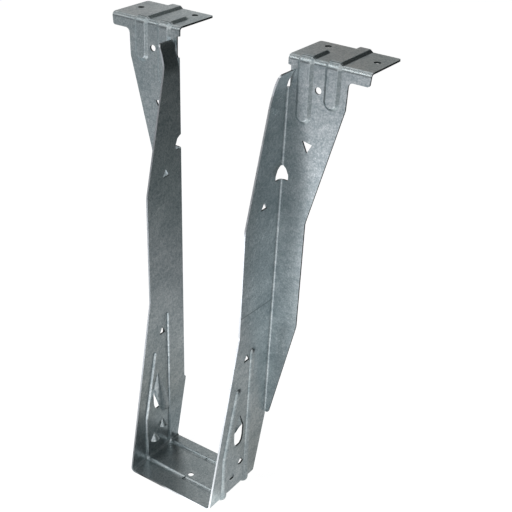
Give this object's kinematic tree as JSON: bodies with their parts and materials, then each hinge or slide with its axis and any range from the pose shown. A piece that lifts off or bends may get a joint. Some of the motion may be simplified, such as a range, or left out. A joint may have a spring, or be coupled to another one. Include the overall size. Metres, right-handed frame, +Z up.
{
  "type": "joist hanger",
  "caption": "Top-flange joist hanger folded from ribbed steel sheet: its seat and sides carry a joist, and its flanges nail to the face and top of a beam.",
  "frame": {"origin": "middle of the seat's top face, where the joist rests", "axes": "+X across the joist, +Y towards the header beam, +Z up"},
  "size_m": [0.1892, 0.0954, 0.307],
  "materials": {
    "galvanised_sheet": "galvanised, satin with a fine mottle"
  },
  "bodies": {
    "root": {"joist_hanger": "galvanised_sheet"}
  },
  "joints": []
}
